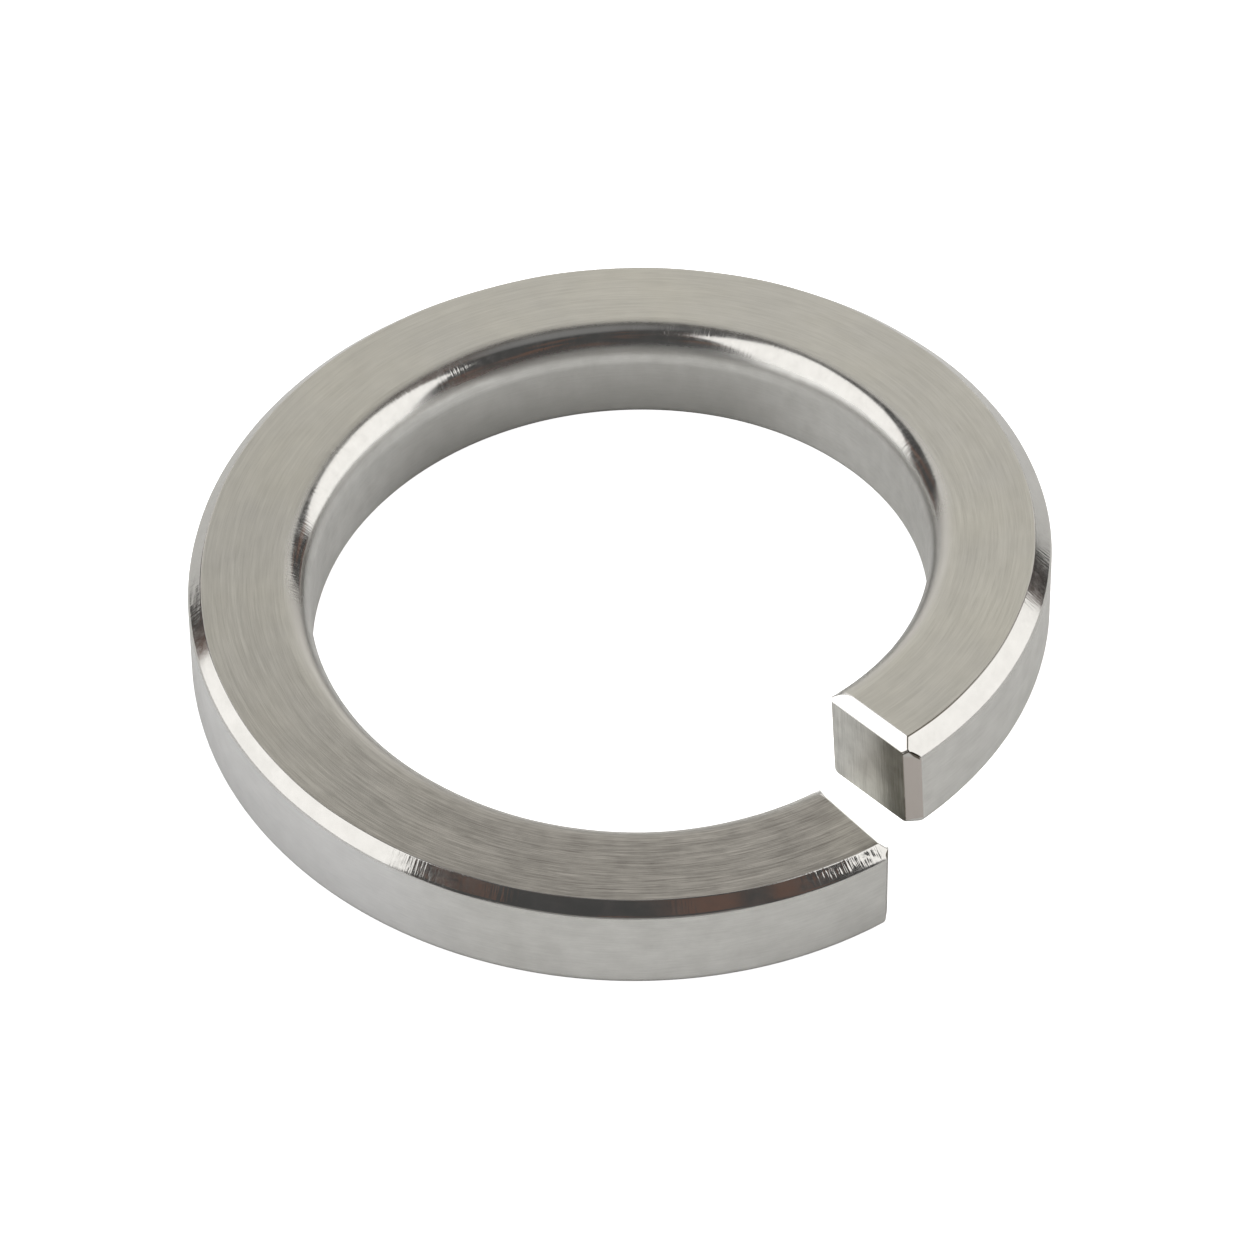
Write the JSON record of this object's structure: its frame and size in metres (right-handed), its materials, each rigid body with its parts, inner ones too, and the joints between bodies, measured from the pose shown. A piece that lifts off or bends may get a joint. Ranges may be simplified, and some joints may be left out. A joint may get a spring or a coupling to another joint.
{
  "type": "spring lock washer",
  "caption": "Split spring lock washer: one left-hand turn of nearly square steel wire, with bevelled edges and cut ends sprung apart.",
  "frame": {"origin": "on the bolt's axis, level with the lowest point of the coil, which is the low end's bottom face", "axes": "+Z along the bolt's axis towards the bolt's head; +X from the axis through the middle of the slit"},
  "size_m": [0.0425, 0.0424, 0.0112],
  "materials": {
    "stainless_steel": "fine brushed faces with polished bevels and rounds"
  },
  "bodies": {
    "root": {"spring_washer": "stainless_steel"}
  },
  "joints": []
}
